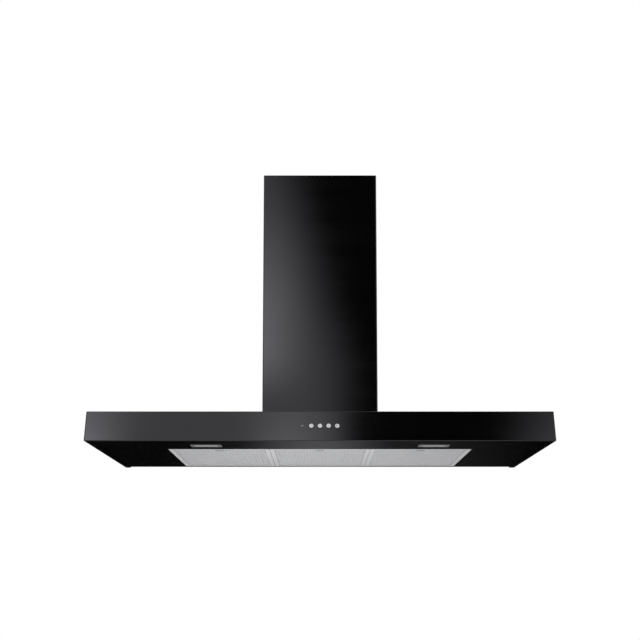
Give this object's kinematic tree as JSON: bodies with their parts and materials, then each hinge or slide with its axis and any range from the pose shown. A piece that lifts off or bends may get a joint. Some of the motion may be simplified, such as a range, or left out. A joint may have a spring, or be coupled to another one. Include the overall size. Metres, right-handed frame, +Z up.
{
  "type": "chimney range hood",
  "caption": "Wall-mounted kitchen extractor hood: telescoping chimney cover over a wide shallow canopy with grease filters, lamps, push buttons and a ducted blower.",
  "frame": {"origin": "middle of the lower rear edge of the canopy, on the wall plane", "axes": "+X to the right as seen from the cook's side, +Y into the wall, +Z up"},
  "size_m": [1.1, 0.4996, 0.748],
  "materials": {
    "black_paint": "semi-gloss",
    "galvanised": "galvanised",
    "filter_aluminium": "satin",
    "mesh_aluminium": "expanded mesh",
    "latch_grey": "satin",
    "spring_steel": "bright",
    "lamp_silver": "satin silver",
    "lamp_lens": "frosted",
    "heat_sink": "cast",
    "board": "solder mask",
    "white_board": "white solder mask",
    "black_plastic": "moulded",
    "button_silver": "satin silver plated",
    "indicator": "clear moulded",
    "grey_plastic": "moulded",
    "shaft_steel": "ground",
    "motor_steel": "zinc plated",
    "cream_plastic": "moulded",
    "capacitor_white": "smooth",
    "screw_black": "black zinc",
    "screw_zinc": "bright zinc"
  },
  "bodies": {
    "hood": {"canopy_skin": "black_paint", "back_plate": "galvanised", "underside_panel": "black_paint", "filter_rails": "galvanised", "switch_housing": "black_plastic", "control_board": "board", "microswitches": "black_plastic", "indicator_light": "indicator", "chimney_lower": "black_paint", "motor_box": "galvanised", "blower_scroll_left": "grey_plastic", "blower_scroll_right": "grey_plastic", "motor_can": "motor_steel", "motor_mount": "motor_steel", "outlet_collar": "black_plastic", "damper_pin": "shaft_steel", "terminal_box": "grey_plastic", "terminal_cover": "grey_plastic", "terminal_strip": "cream_plastic", "run_capacitor": "capacitor_white", "cable_gland": "black_plastic", "panel_screws": "screw_black", "chimney_screws": "screw_zinc", "motor_box_screws": "screw_zinc", "collar_screws": "screw_zinc", "lamp_left_bezel": "lamp_silver", "lamp_left_lens": "lamp_lens", "lamp_left_housing": "heat_sink", "lamp_left_board": "white_board", "lamp_right_bezel": "lamp_silver", "lamp_right_lens": "lamp_lens", "lamp_right_housing": "heat_sink", "lamp_right_board": "white_board", "button_1_spring": "spring_steel", "button_2_spring": "spring_steel", "button_3_spring": "spring_steel", "button_4_spring": "spring_steel"},
    "upper_chimney": {"chimney_upper": "black_paint", "chimney_bracket": "galvanised"},
    "filter_1": {"filter_1_frame": "filter_aluminium", "filter_1_mesh": "mesh_aluminium", "filter_1_spring": "spring_steel"},
    "latch_1": {"filter_1_latch": "latch_grey"},
    "filter_2": {"filter_2_frame": "filter_aluminium", "filter_2_mesh": "mesh_aluminium", "filter_2_spring": "spring_steel"},
    "latch_2": {"filter_2_latch": "latch_grey"},
    "filter_3": {"filter_3_frame": "filter_aluminium", "filter_3_mesh": "mesh_aluminium", "filter_3_spring": "spring_steel"},
    "latch_3": {"filter_3_latch": "latch_grey"},
    "button_1": {"button_1": "button_silver"},
    "button_2": {"button_2": "button_silver"},
    "button_3": {"button_3": "button_silver"},
    "button_4": {"button_4": "button_silver"},
    "impeller": {"impeller": "black_plastic", "motor_shaft": "shaft_steel"},
    "damper_front": {"damper_front": "black_plastic"},
    "damper_rear": {"damper_rear": "black_plastic"}
  },
  "joints": [
    {"name": "chimney_slide", "type": "slide", "parent": "hood", "child": "upper_chimney", "axis": [0, 0, 1], "range_m": [0, 0.35]},
    {"name": "button_1_press", "type": "slide", "parent": "hood", "child": "button_1", "axis": [0, 0.9678, -0.2519], "range_m": [0, 0.0015], "stiffness_N_per_m": 400, "springref_m": -0.002, "deforming": ["button_1_spring"]},
    {"name": "button_2_press", "type": "slide", "parent": "hood", "child": "button_2", "axis": [0, 0.9678, -0.2519], "range_m": [0, 0.0015], "stiffness_N_per_m": 400, "springref_m": -0.002, "deforming": ["button_2_spring"]},
    {"name": "button_3_press", "type": "slide", "parent": "hood", "child": "button_3", "axis": [0, 0.9678, -0.2519], "range_m": [0, 0.0015], "stiffness_N_per_m": 400, "springref_m": -0.002, "deforming": ["button_3_spring"]},
    {"name": "button_4_press", "type": "slide", "parent": "hood", "child": "button_4", "axis": [0, 0.9678, -0.2519], "range_m": [0, 0.0015], "stiffness_N_per_m": 400, "springref_m": -0.002, "deforming": ["button_4_spring"]},
    {"name": "filter_1_hinge", "type": "hinge", "parent": "hood", "child": "filter_1", "pos_m": [-0.251, -0.0178, 0.0041], "axis": [1, 0, 0], "range_deg": [0, 65]},
    {"name": "latch_1_slide", "type": "slide", "parent": "filter_1", "child": "latch_1", "axis": [0, 1, 0], "range_m": [0, 0.005], "stiffness_N_per_m": 300, "springref_m": -0.003, "deforming": ["filter_1_spring"]},
    {"name": "filter_2_hinge", "type": "hinge", "parent": "hood", "child": "filter_2", "pos_m": [0, -0.0178, 0.0041], "axis": [1, 0, 0], "range_deg": [0, 65]},
    {"name": "latch_2_slide", "type": "slide", "parent": "filter_2", "child": "latch_2", "axis": [0, 1, 0], "range_m": [0, 0.005], "stiffness_N_per_m": 300, "springref_m": -0.003, "deforming": ["filter_2_spring"]},
    {"name": "filter_3_hinge", "type": "hinge", "parent": "hood", "child": "filter_3", "pos_m": [0.251, -0.0178, 0.0041], "axis": [1, 0, 0], "range_deg": [0, 65]},
    {"name": "latch_3_slide", "type": "slide", "parent": "filter_3", "child": "latch_3", "axis": [0, 1, 0], "range_m": [0, 0.005], "stiffness_N_per_m": 300, "springref_m": -0.003, "deforming": ["filter_3_spring"]},
    {"name": "impeller_spin", "type": "hinge", "parent": "hood", "child": "impeller", "pos_m": [0, -0.156, 0.176], "axis": [1, 0, 0], "continuous": true},
    {"name": "damper_front_hinge", "type": "hinge", "parent": "hood", "child": "damper_front", "pos_m": [0, -0.122, 0.328], "axis": [-1, 0, 0], "range_deg": [0, 75]},
    {"name": "damper_rear_hinge", "type": "hinge", "parent": "hood", "child": "damper_rear", "pos_m": [0, -0.122, 0.328], "axis": [1, 0, 0], "range_deg": [0, 75]}
  ]
}
